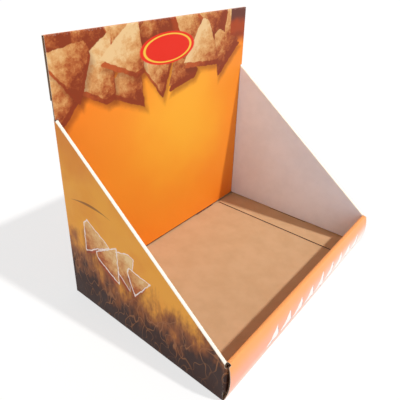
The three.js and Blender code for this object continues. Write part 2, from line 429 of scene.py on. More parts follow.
@dataclass
class SideWall(SheetPart):
    """A side wall with its floor panel, slanted rolled top, white inner panel and tab."""

    side: int = -1
    bulge: float = 0.35
    rise_steps: int = 36
    end_share: float = 0.01
    edge_margin: float = 0.8

    def path(self, y: float) -> tuple[list[Point], list[Point], list[Stretch]]:
        """Draws the wall's section at a place along it, from the floor up and down inside.

        Args:
            y: The place along the wall.

        Returns:
            The print side's points, the inner side's points, and each point's part of the wall.
        """
        box = self.sizes
        left = self.side < 0
        top = box.side_top(y)
        lean = math.hypot(1, box.slope_rise)
        radius = box.fold_radius
        base = 0.0 if left else box.board
        inside = box.half - box.side_thickness
        foot = base + box.board + box.foot_gap
        floor_end = -(box.half - box.edge_inset) if left else box.half - box.flange_width
        stops = [-inside + box.clearance, inside - box.clearance, box.half - box.board]
        stops += box.slot_ends(box.back_tab_spacing, box.back_tab_width)
        stops += box.slot_ends(box.lip_tab_spacing, box.lip_tab_width)
        floor = [(x, base) for x in lines_between(floor_end, box.half - radius, self.step, stops)[:-1]]
        corner = arc((box.half - radius, base + radius), radius, -1, 0)
        shares = lines_between(0, 1, 1 / self.rise_steps, [self.end_share, 1 - self.end_share])[1:-1]
        wall_top = top - radius * lean
        wall = [(box.half, base + radius + (wall_top - base - radius) * share) for share in shares]
        outer = [(x, top + (z - radius) * lean) for x, z in arc((box.half - radius, 0), radius, 0, 1)]
        over = arc((inside + radius, 0), radius, 1, 2)
        inner = [(x, top + (z - radius) * lean) for x, z in over]
        fall = [(inside, foot + (wall_top - foot) * (1 - share)) for share in shares]
        parts = [
            (Stretch.FLOOR, floor),
            (Stretch.CORNER, corner),
            (Stretch.WALL, wall),
            (Stretch.OUTER, outer),
            (Stretch.INNER, inner),
            (Stretch.FALL, fall),
            (Stretch.FOOT, [(inside, foot)]),
        ]
        line = [point for _, points in parts for point in points]
        names = [name for name, points in parts for _ in points]
        # The bends at the slanted top are round when seen along the slope, so they are offset there.
        along_slope = inner_side([(x, (z - top) / lean) for x, z in line], box.board, 1)
        upright = inner_side(line, box.board, 1)
        bends = (Stretch.OUTER, Stretch.INNER)
        behind = [
            (bent[0], top + bent[1] * lean) if name in bends else straight
            for bent, straight, name in zip(along_slope, upright, names)
        ]
        return line, behind, names

    def swell(self, y: float, z: float) -> float:
        """Says how far the wall's middle bends inwards at a place on it.

        Args:
            y: The place along the wall.
            z: Its height.

        Returns:
            The bend in millimetres.
        """
        box = self.sizes
        along = math.sin(math.pi * (y - box.front) / box.depth)
        up = math.sin(math.pi * min(1.0, max(0.0, z / box.side_top(y))))
        return self.bulge * along * up

    def panels(self) -> list[Panel]:
        """Makes the wall's one long panel and its locking tab.

        Returns:
            The two panels.
        """
        box = self.sizes
        slot_end = box.side_tab_width / 2 + box.clearance
        roll_end = box.slope_back - box.clearance
        flange_end = box.slope_back - box.flange_back_gap
        wall_end = box.back - box.corner_radius
        lip_slot = [box.lip_inner - box.board - box.clearance, box.lip_inner + box.clearance]
        stops = [-slot_end, slot_end, roll_end, flange_end, *lip_slot]
        stops += [box.front + self.edge_margin, wall_end - self.edge_margin]
        lines = lines_between(box.front, wall_end, self.step, stops)
        sections = [self.path(y) for y in lines]
        names = sections[0][2]
        near_end = nearness(lines, [box.front], self.reach)
        bends = (Stretch.CORNER, Stretch.OUTER, Stretch.INNER)
        upright = (Stretch.WALL, Stretch.OUTER, Stretch.INNER, Stretch.FALL)

        def place(i: int, j: int) -> tuple[Vector, Vector]:
            """Sets a grid point in the box.

            Args:
                i: Its row in the grid.
                j: Its column in the grid.

            Returns:
                The point on the print face and the one on the inner face.
            """
            found = []
            for layer in (0, 1):
                across, z = sections[j][layer][i]
                if names[i] in upright:
                    across -= self.swell(lines[j], z)
                found.append(Vector((self.side * across, lines[j], z)))
            return found[0], found[1]

        def in_slots(x: float, y: float) -> bool:
            """Says whether a place on the floor lies in a slot for a locking tab.

            Args:
                x: The place across the box.
                y: The place from front to back.

            Returns:
                True in a slot.
            """
            if box.half - box.side_thickness - box.clearance < abs(x) < box.half - box.board:
                return abs(y) < slot_end
            if y > roll_end:
                return box.in_slot_pair(x, box.back_tab_spacing, box.back_tab_width)
            if lip_slot[0] < y < lip_slot[1]:
                return box.in_slot_pair(x, box.lip_tab_spacing, box.lip_tab_width)
            return False

        def keep(i: int, j: int) -> bool:
            """Says which cells of the grid are board.

            Args:
                i: The cell's row.
                j: The cell's column.

            Returns:
                True where there is board.
            """
            x = (sections[j][0][i][0] + sections[j][0][i + 1][0]) / 2
            y = (lines[j] + lines[j + 1]) / 2
            if names[i] == Stretch.FLOOR:
                past_flange = self.side > 0 and y > flange_end
                return not past_flange and not in_slots(self.side * x, y)
            if y > roll_end:
                return names[i] in (Stretch.CORNER, Stretch.WALL)
            return True

        def printed(i: int, j: int) -> Finish:
            """Says which print or plain finish a cell's print face has."""
            outside = names[i] in (Stretch.CORNER, Stretch.WALL)
            return Finish.SIDE_PRINT if outside else Finish.WHITE

        def folds(i: int, j: int) -> float:
            """Says how near a grid point lies to a fold."""
            return 1.0 if names[i] in bends else near_end[j]

        found = [Panel(len(names), len(lines), place, printed, keep, folds)]
        inner = box.half - box.side_thickness
        low_x, high_x = sorted((self.side * inner, self.side * (inner + box.board)))
        low = Vector((low_x, -box.side_tab_width / 2, box.tab_foot_gap))
        high = Vector((high_x, box.side_tab_width / 2, box.tab_root))
        found.append(block(low, high, 0, -self.side, Finish.WHITE))
        return found


@dataclass
class Header(SheetPart):
    """The back panel, rolled over the header's top and down inside to the floor."""

    bulge: float = 0.4
    corner_steps: int = 8
    top_margin: float = 3.0

    def path(self) -> tuple[list[Point], list[Stretch]]:
        """Draws the header's section from the outer foot up, over and down inside.

        Returns:
            The print side's points in Y and Z, and each point's part of the header.
        """
        box = self.sizes
        radius = box.fold_radius
        top = box.header_height
        rise = [box.side_back_height, box.side_back_height + box.clearance]
        rise += [box.side_back_height + box.relief_height]
        up = lines_between(0, top - radius, self.step, rise)[:-1]
        foot = 2 * box.board + box.foot_gap
        stops = [*rise, foot, top - self.top_margin]
        down = lines_between(box.board + box.foot_gap, top - radius, self.step, stops)
        parts = [
            (Stretch.RISE, [(box.back, z) for z in up]),
            (Stretch.OUTER, arc((box.back - radius, top - radius), radius, 0, 1)),
            (Stretch.OVER, arc((box.slope_back + radius, top - radius), radius, 1, 2)),
            (Stretch.FALL, [(box.slope_back, z) for z in reversed(down[:-1])]),
        ]
        line = [point for _, points in parts for point in points]
        return line, [name for name, points in parts for _ in points]

    def swell(self, x: float, z: float) -> float:
        """Says how far the panels bend forward at a place on them.

        Args:
            x: The place across the box.
            z: Its height.

        Returns:
            The bend in millimetres.
        """
        box = self.sizes
        across = math.cos(math.pi * x / box.width)
        up = math.sin(math.pi * min(1.0, max(0.0, z / box.header_height)))
        return self.bulge * across * up

    def panels(self) -> list[Panel]:
        """Makes the header's one long panel and its two locking tabs.

        Returns:
            The long panel, the tabs and the two upright corner folds.
        """
        box = self.sizes
        line, names = self.path()
        behind = inner_side(line, box.board, 1)
        foot = 2 * box.board + box.foot_gap
        below = box.half - box.side_thickness - box.clearance
        relief = box.half - box.relief_depth
        corner = box.half - box.corner_radius
        flange = box.half - box.flange_width - box.clearance
        stops = [side * x for side in (-1, 1) for x in (below, relief, corner)]
        lines = lines_between(-box.half, box.half, self.step, [*stops, flange])
        near_end = nearness(lines, [-box.half, box.half], self.reach)

        def place(i: int, j: int) -> tuple[Vector, Vector]:
            """Sets a grid point in the box.

            Args:
                i: Its row in the grid.
                j: Its column in the grid.

            Returns:
                The point on the print face and the one on the inner face.
            """
            found = []
            for y, z in (line[i], behind[i]):
                found.append(Vector((lines[j], y - self.swell(lines[j], z), z)))
            return found[0], found[1]

        def keep(i: int, j: int) -> bool:
            """Says which cells of the grid are board.

            Args:
                i: The cell's row.
                j: The cell's column.

            Returns:
                True where there is board.
            """
            x = (lines[j] + lines[j + 1]) / 2
            z = (line[i][1] + line[i + 1][1]) / 2
            if names[i] == Stretch.RISE:
                if z < box.side_back_height:
                    return abs(x) < corner
                return abs(x) < relief or z > box.side_back_height + box.relief_height
            if names[i] == Stretch.FALL and z < box.side_back_height + box.clearance:
                over_flange = x > flange and z < foot
                return abs(x) < below and not over_flange
            return True

        def printed(i: int, j: int) -> Finish:
            """Says which print a cell's print face has."""
            outside = names[i] in (Stretch.RISE, Stretch.OUTER)
            return Finish.BACK_PRINT if outside else Finish.HEADER_PRINT

        def folds(i: int, j: int) -> float:
            """Says how near a grid point lies to a fold."""
            return 1.0 if names[i] in (Stretch.OUTER, Stretch.OVER) else near_end[j]

        found = [Panel(len(line), len(lines), place, printed, keep, folds)]
        for side in (-1, 1):
            x = side * box.back_tab_spacing / 2
            low = Vector((x - box.back_tab_width / 2, box.slope_back, box.tab_foot_gap))
            high = Vector((x + box.back_tab_width / 2, box.slope_back + box.board, box.tab_root))
            found.append(block(low, high, 1, -1, Finish.HEADER_PRINT))
        found += [self.corner(side) for side in (-1, 1)]
        return found

    def corner(self, side: int) -> Panel:
        """Makes the upright fold between the back and a side wall.

        Args:
            side: -1 on the left and 1 on the right.

        Returns:
            The fold's panel.
        """
        box = self.sizes
        radius = box.corner_radius
        line = arc((box.half - radius, box.back - radius), radius, 0, 1, self.corner_steps)
        behind = inner_side(line, box.board, 1)
        lines = lines_between(0, box.side_back_height, self.step)

        def place(i: int, j: int) -> tuple[Vector, Vector]:
            """Sets a grid point in the box.

            Args:
                i: Its row in the grid.
                j: Its column in the grid.

            Returns:
                The point on the print face and the one on the inner face.
            """
            ends = [Vector((side * x, y, lines[j])) for x, y in (line[i], behind[i])]
            return ends[0], ends[1]

        def printed(i: int, j: int) -> Finish:
            """Says that the fold carries the side walls' print."""
            return Finish.SIDE_PRINT

        return Panel(len(line), len(lines), place, printed, folds=lambda i, j: 1.0)


@dataclass
class Lip(SheetPart):
    """The hollow front lip: a bowed outer face, a narrow crest and an inner face with tabs."""

    bow_steps: int = 20
    foot_overlap: float = 0.4

    def path(self) -> tuple[list[Point], list[Stretch]]:
        """Draws the lip's section from the base's front fold up, over and down inside.

        Returns:
            The print side's points in Y and Z, and each point's part of the lip.
        """
        box = self.sizes
        radius = box.lip_radius
        crest = box.lip_height - radius
        bow = []
        for i in range(1, self.bow_steps):
            share = i / self.bow_steps
            chord = box.lip_foot + (box.lip_outer - box.lip_foot) * share
            swell = box.lip_bow * 4 * share * (1 - share)
            bow.append((chord - swell, radius + (crest - radius) * share))
        start = (box.front + self.foot_overlap, 0.0)
        low = box.board + box.clearance
        down = lines_between(low, crest, self.step, [low + box.board])
        parts = [
            (Stretch.FOOT, [start, *arc((box.lip_foot + radius, radius), radius, -1, -2)]),
            (Stretch.BOW, bow),
            (Stretch.OUTER, arc((box.lip_outer + radius, crest), radius, 2, 1)),
            (Stretch.INNER, arc((box.lip_inner - radius, crest), radius, 1, 0)),
            (Stretch.FALL, [(box.lip_inner, z) for z in reversed(down[:-1])]),
        ]
        line = [point for _, points in parts for point in points]
        return line, [name for name, points in parts for _ in points]

    def panels(self) -> list[Panel]:
        """Makes the lip's one long panel and its two locking tabs.

        Returns:
            The three panels.
        """
        box = self.sizes
        line, names = self.path()
        behind = inner_side(line, box.board, -1)
        end = box.half - box.edge_inset
        crest = box.half - box.lip_crest_inset
        inner = box.half - box.lip_inner_inset
        flange = box.half - box.flange_width - box.clearance
        stops = [side * x for side in (-1, 1) for x in (crest, inner)]
        lines = lines_between(-end, end, self.step, [*stops, flange])

        def place(i: int, j: int) -> tuple[Vector, Vector]:
            """Sets a grid point in the box.

            Args:
                i: Its row in the grid.
                j: Its column in the grid.

            Returns:
                The point on the print face and the one on the inner face.
            """
            ends = [Vector((lines[j], y, z)) for y, z in (line[i], behind[i])]
            return ends[0], ends[1]

        def keep(i: int, j: int) -> bool:
            """Says which cells of the grid are board.

            Args:
                i: The cell's row.
                j: The cell's column.

            Returns:
                True where there is board.
            """
            x = (lines[j] + lines[j + 1]) / 2
            z = (line[i][1] + line[i + 1][1]) / 2
            if Stretch.FALL in (names[i], names[i + 1]):
                over_flange = x > flange and z < 2 * box.board + box.clearance
                return abs(x) < inner and not over_flange
            if names[i] in (Stretch.OUTER, Stretch.INNER):
                return abs(x) < crest
            return True

        def printed(i: int, j: int) -> Finish:
            """Says that the whole lip carries its print."""
            return Finish.LIP_PRINT

        def folds(i: int, j: int) -> float:
            """Says how near a grid point lies to a fold."""
            return 1.0 if names[i] in (Stretch.FOOT, Stretch.OUTER, Stretch.INNER) else 0.0

        found = [Panel(len(line), len(lines), place, printed, keep, folds)]
        for side in (-1, 1):
            x = side * box.lip_tab_spacing / 2
            low = Vector((x - box.lip_tab_width / 2, box.lip_inner - box.board, box.tab_foot_gap))
            high = Vector((x + box.lip_tab_width / 2, box.lip_inner, box.tab_root))
            found.append(block(low, high, 1, 1, Finish.LIP_PRINT))
        return found


@dataclass
class CornerFlap(SheetPart):
    """A side wall's corner flap, bent round the front corner and tucked into the lip."""

    side: int = -1
    bend_steps: int = 8

    def panels(self) -> list[Panel]:
        """Makes the flap's one bent panel.

        Returns:
            The panel, alone in a list.
        """
        box = self.sizes
        radius = box.flap_bend_radius + box.board / 2
        bend_x = box.half - box.board - (box.flap_bend_radius - box.board / 2)
        face = box.lip_inner - 2 * box.board - box.clearance
        bend_y = face + radius
        round_part = arc((bend_x, bend_y), radius, 0, -1, self.bend_steps)
        end = box.half - box.flap_length
        straight = [(x, face) for x in reversed(lines_between(end, bend_x, self.step)[:-1])]
        line = [(box.half, box.front), *round_part[1:], *straight]
        behind = inner_side(line, box.board, -1)
        lines = lines_between(box.flap_foot, box.side_front_height - box.flap_drop, self.step)

        def place(i: int, j: int) -> tuple[Vector, Vector]:
            """Sets a grid point in the box.

            Args:
                i: Its row in the grid.
                j: Its column in the grid.

            Returns:
                The point on the print face and the one on the inner face.
            """
            ends = [Vector((self.side * x, y, lines[j])) for x, y in (line[i], behind[i])]
            return ends[0], ends[1]

        def printed(i: int, j: int) -> Finish:
            """Says that the flap carries the side walls' print."""
            return Finish.SIDE_PRINT

        return [Panel(len(line), len(lines), place, printed)]


class Wiring:
    """Adds nodes to one node tree; most methods give the new node's main output."""

    def __init__(self, tree: bpy.types.NodeTree) -> None:
        """Keeps the tree that the nodes go into."""
        self.tree = tree

    def feed(self, socket: Socket, value: Value) -> None:
        """Links a socket to an output, or sets it to a plain value.

        Args:
            socket: The input that takes the value.
            value: An output or a plain value.
        """
        if isinstance(value, bpy.types.NodeSocket):
            self.tree.links.new(value, socket)
        else:
            socket.default_value = value

    def node(
        self, kind: str, feeds: dict[str | int, Value] | None = None, **settings: object
    ) -> bpy.types.Node:
        """Adds one node.

        Args:
            kind: Blender's name of the node's type.
            feeds: What goes into its inputs, by name or number.
            **settings: The node's own settings.

        Returns:
            The new node.
        """
        new = self.tree.nodes.new(kind)
        for key, value in settings.items():
            setattr(new, key, value)
        for key, value in (feeds or {}).items():
            self.feed(new.inputs[key], value)
        return new

    def math(self, operation: str, *values: Value) -> Socket:
        """Adds a Math node and gives its value."""
        return self.node("ShaderNodeMath", dict(enumerate(values)), operation=operation).outputs[0]

    def vector(self, operation: str, *values: Value) -> Socket:
        """Adds a Vector Math node and gives its vector, or its value for a dot product or length."""
        new = self.node("ShaderNodeVectorMath", dict(enumerate(values)), operation=operation)
        return new.outputs[1 if operation in ("DOT_PRODUCT", "LENGTH") else 0]

    def blend(self, share: Value, low: Value, high: Value) -> Socket:
        """Mixes two colours and gives the result.

        Args:
            share: How much of the second colour there is.
            low: The first colour.
            high: The second colour.

        Returns:
            The mixed colour.
        """
        feeds = {0: share, 6: low, 7: high}
        new = self.node("ShaderNodeMix", feeds, data_type="RGBA", clamp_factor=True)
        return new.outputs[2]

    def span(
        self, value: Value, low: float, high: float, first: float = 0.0, last: float = 1.0
    ) -> Socket:
        """Turns a stretch of values into another, smoothly, and stops at its ends.

        Args:
            value: The value.
            low: Where the stretch starts.
            high: Where it ends.
            first: The result at the start.
            last: The result at the end.

        Returns:
            The new value.
        """
        feeds = {0: value, 1: low, 2: high, 3: first, 4: last}
        new = self.node("ShaderNodeMapRange", feeds, interpolation_type="SMOOTHSTEP")
        return new.outputs[0]

    def noise(self, place: Value, scale: float, detail: float = 3.0, rough: float = 0.55) -> Socket:
        """Adds a Noise Texture over a place in millimetres and gives its value."""
        feeds = {"Vector": place, "Scale": scale, "Detail": detail, "Roughness": rough}
        return self.node("ShaderNodeTexNoise", feeds).outputs[0]

    def join(self, x: Value, y: Value, z: Value = 0.0) -> Socket:
        """Joins three values to a vector."""
        return self.node("ShaderNodeCombineXYZ", {0: x, 1: y, 2: z}).outputs[0]

    def split(self, vector: Value) -> tuple[Socket, Socket, Socket]:
        """Splits a vector into its three values."""
        new = self.node("ShaderNodeSeparateXYZ", {0: vector})
        return new.outputs[0], new.outputs[1], new.outputs[2]

    def oval(self, flat: Value, centre: Point, reach: Point) -> Socket:
        """Gives how far a place lies from an oval's centre, with 1 on its outline.

        Args:
            flat: The place on the panel.
            centre: The oval's centre.
            reach: Half the oval's width and height.

        Returns:
            The distance as a share of the oval's size.
        """
        spot = self.vector("SUBTRACT", flat, (*centre, 0.0))
        scaled = self.vector("MULTIPLY", spot, (1 / reach[0], 1 / reach[1], 0.0))
        return self.vector("LENGTH", scaled)

    def group(self, tree: bpy.types.NodeTree, **feeds: Value) -> bpy.types.Node:
        """Places a node group with its inputs' values, named with _ for spaces.

        Args:
            tree: The node group.
            **feeds: What goes into its inputs.

        Returns:
            The placed group.
        """
        new = self.node("ShaderNodeGroup", node_tree=tree)
        for name, value in feeds.items():
            self.feed(new.inputs[name.replace("_", " ")], value)
        return new


class Effect:
    """A node group with named inputs and outputs, which several materials share."""

    def __init__(self, name: str, inputs: dict[str, str], outputs: dict[str, str]) -> None:
        """Makes the empty group.

        Args:
            name: The group's name.
            inputs: The kind of each input: Float, Vector or Color.
            outputs: The kind of each output.
        """
        self.tree = bpy.data.node_groups.new(name, "ShaderNodeTree")
        for way, sockets in (("INPUT", inputs), ("OUTPUT", outputs)):
            for label, kind in sockets.items():
                self.tree.interface.new_socket(label, in_out=way, socket_type=f"NodeSocket{kind}")
        self.wires = Wiring(self.tree)
        self.given = self.wires.node("NodeGroupInput").outputs
        self.result = self.wires.node("NodeGroupOutput").inputs

    def give(self, name: str, value: Value) -> None:
        """Sends a value to one of the group's outputs."""
        self.wires.feed(self.result[name], value)


@dataclass
class Effects:
    """The node groups of this box: paper over flutes, cracked folds and printed crisps."""

    crisp_tones: tuple[tuple[float, str], ...] = (
        (0.22, "8C3A1C"), (0.42, "B25E30"), (0.6, "CD8A50"), (0.8, "DFAA6E"), (1.0, "EBC792"),
    )
    side_dark: str = "8E3A1C"
    side_light: str = "BC5A2C"
    shadow_tone: str = "7A3216"
    paper: bpy.types.NodeTree = field(init=False)
    worn: bpy.types.NodeTree = field(init=False)
    crisp: bpy.types.NodeTree = field(init=False)

    def __post_init__(self) -> None:
        """Makes every group once."""
        self.paper = self.make_paper()
        self.worn = self.make_worn()
        self.crisp = self.make_crisp()

    @staticmethod
    def make_paper() -> bpy.types.NodeTree:
        """Makes the group for paper over flutes: a mottle, fine flecks and a height.

        Returns:
            The group.
        """
        made = Effect(
            "paper_over_flutes",
            {"Place": "Vector", "Along": "Vector", "Fluting": "Float"},
            {"Mottle": "Float", "Flecks": "Float", "Height": "Float"},
        )
        add = made.wires
        place = made.given["Place"]
        cloud = add.noise(place, 0.035, 3.0, 0.6)
        fleck = add.noise(place, 0.9, 3.0, 0.7)
        grain = add.noise(place, 2.2, 2.0, 0.6)
        run = add.vector("DOT_PRODUCT", place, made.given["Along"])
        wave = add.math("SINE", add.math("MULTIPLY", run, 2 * math.pi / FLUTE_PITCH))
        ridge = add.math("MULTIPLY", wave, made.given["Fluting"])
        slack = add.math("MULTIPLY", cloud, 6.0)
        height = add.math("ADD", add.math("ADD", ridge, slack), add.math("MULTIPLY", grain, 0.35))
        made.give("Mottle", cloud)
        made.give("Flecks", fleck)
        made.give("Height", height)
        return made.tree

    @staticmethod
    def make_worn() -> bpy.types.NodeTree:
        """Makes the group for the pale cracks along a fold or cut edge.

        Returns:
            The group.
        """
        made = Effect(
            "fold_cracks",
            {"Place": "Vector", "Nearness": "Float", "Amount": "Float"},
            {"Mask": "Float"},
        )
        add = made.wires
        broken = add.noise(made.given["Place"], 0.5, 4.0, 0.75)
        level = add.math("MULTIPLY", made.given["Nearness"], add.span(broken, 0.42, 0.68))
        made.give("Mask", add.math("MULTIPLY", add.span(level, 0.25, 0.9), made.given["Amount"]))
        return made.tree

    def make_crisp(self) -> bpy.types.NodeTree:
        """Makes the group that lays one printed crisp, with its side and shadow, on a colour.

        Returns:
            The group.
        """
        made = Effect(
            "printed_crisp",
            {
                "Under": "Color", "Place": "Vector", "Centre": "Vector", "Turn": "Float",
                "Size": "Float", "Cut": "Float", "Shade": "Float",
            },
            {"Color": "Color", "Rim": "Float"},
        )
        add = made.wires
        spot = add.vector("SUBTRACT", made.given["Place"], made.given["Centre"])
        ragged = add.noise(made.given["Place"], 0.11, 4.0, 0.6)

        def outline(shift: tuple[float, float, float]) -> Socket:
            """Gives how far outside the crisp's outline a place lies.

            Args:
                shift: How far the outline is moved, in millimetres.

            Returns:
                The distance in millimetres.
            """
            moved = add.vector("ADD", spot, shift)
            turned = add.node(
                "ShaderNodeVectorRotate", {"Vector": moved, "Angle": made.given["Turn"]},
                rotation_type="Z_AXIS",
            ).outputs[0]
            sides = [
                add.vector("DOT_PRODUCT", turned, (math.sin(angle), math.cos(angle), 0.0))
                for angle in (math.pi, math.pi / 3, -math.pi / 3)
            ]
            pair = add.math("SMOOTH_MAX", sides[0], sides[1], 3.0)
            whole = add.math("SMOOTH_MAX", pair, sides[2], 3.0)
            above = add.vector("DOT_PRODUCT", turned, (0.25, 0.97, 0.0))
            tip = add.math("ADD", above, made.given["Cut"])
            cut = add.math("SMOOTH_MAX", whole, tip, 2.0)
            rough = add.math("MULTIPLY", add.math("SUBTRACT", ragged, 0.5), 5.0)
            return add.math("SUBTRACT", add.math("ADD", cut, rough), made.given["Size"])

        # The same outline three times: the crisp's face, its thick side below and its soft shadow.
        top = outline((0.0, 0.0, 0.0))
        low = outline((-1.4, 6.5, 0.0))
        shade = outline((-4.5, 12.0, 0.0))
        face = add.span(top, 0.5, -0.5)
        side = add.span(low, 0.6, -0.6)
        shadow = add.math("MULTIPLY", add.span(shade, 5.0, -4.0), 0.55)
        patch = add.noise(made.given["Place"], 0.085, 5.0, 0.68)
        fine = add.noise(made.given["Place"], 0.42, 3.0, 0.7)
        across, up, _ = add.split(spot)
        lit = add.math("MULTIPLY", add.math("SUBTRACT", up, across), 0.01)
        level = add.math("ADD", add.math("MULTIPLY", patch, 1.25), add.math("MULTIPLY", fine, 0.35))
        level = add.math("ADD", level, lit)
        level = add.math("SUBTRACT", level, made.given["Shade"])
        ramp = add.node("ShaderNodeValToRGB", {0: level})
        points = ramp.color_ramp.elements
        while len(points) < len(self.crisp_tones):
            points.new(0.5)
        for point, (at, code) in zip(points, self.crisp_tones):
            point.position = at
            point.color = tone(code)
        dark = add.blend(add.span(level, 0.3, 0.9), tone(self.side_dark), tone(self.side_light))
        colour = add.blend(shadow, made.given["Under"], tone(self.shadow_tone))
        colour = add.blend(side, colour, dark)
        colour = add.blend(face, colour, ramp.outputs[0])
        made.give("Color", colour)
        made.give("Rim", add.math("MULTIPLY", add.span(top, 2.4, 1.2), add.span(top, 0.1, 0.9)))
        return made.tree


@dataclass(frozen=True)
class Crisp:
    """One printed crisp: where it lies on its panel, how it is turned and how large it is."""

    across: float
    up: float
    turn: float
    size: float
    cut: float = -6.0
    shade: float = 0.0


@dataclass
class Material:
    """A material under construction: its place in millimetres, its paper and its shader."""

    name: str
    effects: Effects
    along: tuple[float, float, float] = (0.0, 0.0, 1.0)
    fluting: float = 0.25
    specular: float = 0.15
    coat_roughness: float = 0.2
    crack_tone: str = "F3E9DC"

    def __post_init__(self) -> None:
        """Starts the node tree."""
        self.made = bpy.data.materials.new(self.name)
        self.made.use_nodes = True
        tree = self.made.node_tree
        tree.nodes.clear()
        self.wires = Wiring(tree)
        spot = self.wires.node("ShaderNodeTexCoord").outputs["Object"]
        self.place = self.wires.vector("SCALE", spot)
        self.place.node.inputs["Scale"].default_value = 1 / MM
        paper = self.wires.group(
            self.effects.paper, Place=self.place, Along=self.along, Fluting=self.fluting
        )
        self.paper = paper.outputs
        self.nearness = self.wires.node("ShaderNodeAttribute", attribute_name=FOLD_WEAR_AND_HIGHLIGHT).outputs["Fac"]

    def roughness(self, low: float = 0.4, high: float = 0.5) -> Socket:
        """Gives a roughness that follows the paper's mottle."""
        return self.wires.span(self.paper["Mottle"], 0.3, 0.7, low, high)

    def finish(
        self, colour: Value, roughness: Value, bump: float, coat: float = 0.0, wear: float = 0.0
    ) -> bpy.types.Material:
        """Closes the material with its shader.

        Args:
            colour: The base colour.
            roughness: The roughness, plain or from nodes.
            bump: How far the paper's height stands out, in millimetres.
            coat: How much clear coat the sheet has.
            wear: How much the folds and edges are cracked.

        Returns:
            The finished material.
        """
        add = self.wires
        if wear > 0:
            cracks = add.group(
                self.effects.worn, Place=self.place, Nearness=self.nearness, Amount=wear
            ).outputs["Mask"]
            colour = add.blend(cracks, colour, tone(self.crack_tone))
        height = add.node("ShaderNodeBump", {"Height": self.paper["Height"]})
        height.inputs["Distance"].default_value = bump * MM
        height.inputs["Strength"].default_value = 1.0
        shader = add.node("ShaderNodeBsdfPrincipled", {"Base Color": colour, "Roughness": roughness})
        shader.inputs["Coat Weight"].default_value = coat
        shader.inputs["Coat Roughness"].default_value = self.coat_roughness
        shader.inputs["Specular IOR Level"].default_value = self.specular
        add.feed(shader.inputs["Normal"], height.outputs[0])
        out = add.node("ShaderNodeOutputMaterial")
        add.feed(out.inputs["Surface"], shader.outputs[0])
        return self.made


def painted_foot_shade(add: Wiring, place: Value, colour: Value, code: str) -> Socket:
    """Paints shade on the foot of an inner panel, where it stands on the base.

    Args:
        add: The node tree's wiring.
        place: The place on the box, in millimetres.
        colour: The panel's colour.
        code: The colour of the painted shade.

    Returns:
        The colour with the painted shade at the foot.
    """
    _, _, z = add.split(place)
    # Painted shade: a dark band just above the base, where the inner panel meets it.
    mask = add.math("MULTIPLY", add.span(z, 4.5, 4.1), add.span(z, 0.8, 1.2))
    return add.blend(mask, colour, tone(code))


def lay_crisp(
    add: Wiring, effects: Effects, crisp: Crisp, flat: Value, under: Value
) -> bpy.types.NodeOutputs:
    """Lays one crisp on a print.

    Args:
        add: The node tree's wiring.
        effects: The shared node groups.
        crisp: The crisp.
        flat: The place on the panel, in millimetres.
        under: The colour below it.

    Returns:
        The placed group's outputs: the new colour and the crisp's rim.
    """
    laid = add.group(
        effects.crisp, Under=under, Place=flat, Centre=(crisp.across, crisp.up, 0.0),
        Turn=crisp.turn, Size=crisp.size, Cut=crisp.cut, Shade=crisp.shade,
    )
    return laid.outputs


@dataclass(frozen=True)
class KraftFinish:
    """Plain brown kraft paper, flecked, with the flutes faintly showing through."""

    base: str = "C6A27B"
    light: str = "CDA983"
    dark: str = "AC8762"

    def make(self, effects: Effects) -> bpy.types.Material:
        """Makes the material.

        Args:
            effects: The shared node groups.

        Returns:
            The finished material.
        """
        look = Material("kraft_liner", effects, (0.0, 1.0, 0.0), 0.22)
        add = look.wires
        colour = add.blend(add.span(look.paper["Mottle"], 0.3, 0.7), tone(self.base), tone(self.light))
        fleck = add.span(look.paper["Flecks"], 0.6, 0.82, 0.0, 0.45)
        colour = add.blend(fleck, colour, tone(self.dark))
        rough = add.span(look.paper["Flecks"], 0.2, 0.8, 0.72, 0.9)
        return look.finish(colour, rough, 0.05)


@dataclass(frozen=True)
class WhiteFinish:
    """White, smooth, a little glossy sheet where the print has no ink, with painted light and shade.
    """

    # The base white is tinted cool and grey as painted shade for the inner walls, which face away from
    # the key lamp.
    base: str = "E4E7F0"
    shade: str = "DDE0E9"
    # The bend tone is a painted highlight: a warmer white on the rolled tops, which face the light.
    bend: str = "FCF5E6"
    # The colour of the painted shade at the inner panels' foot.
    foot: str = "5A3A2C"

    def make(self, effects: Effects) -> bpy.types.Material:
        """Makes the material.

        Args:
            effects: The shared node groups.

        Returns:
            The finished material.
        """
        look = Material("white_sheet", effects, (0.0, 1.0, 0.0), 0.15)
        add = look.wires
        colour = add.blend(add.span(look.paper["Mottle"], 0.3, 0.7), tone(self.base), tone(self.shade))
        # Painted highlight: the warmer white along the folds of the rolled tops.
        colour = add.blend(add.span(look.nearness, 0.9, 0.99), colour, tone(self.bend))
        # Painted shade at the foot, where the inner panel stands on the base.
        colour = painted_foot_shade(add, look.place, colour, self.foot)
        return look.finish(colour, look.roughness(), 0.03, coat=0.05)


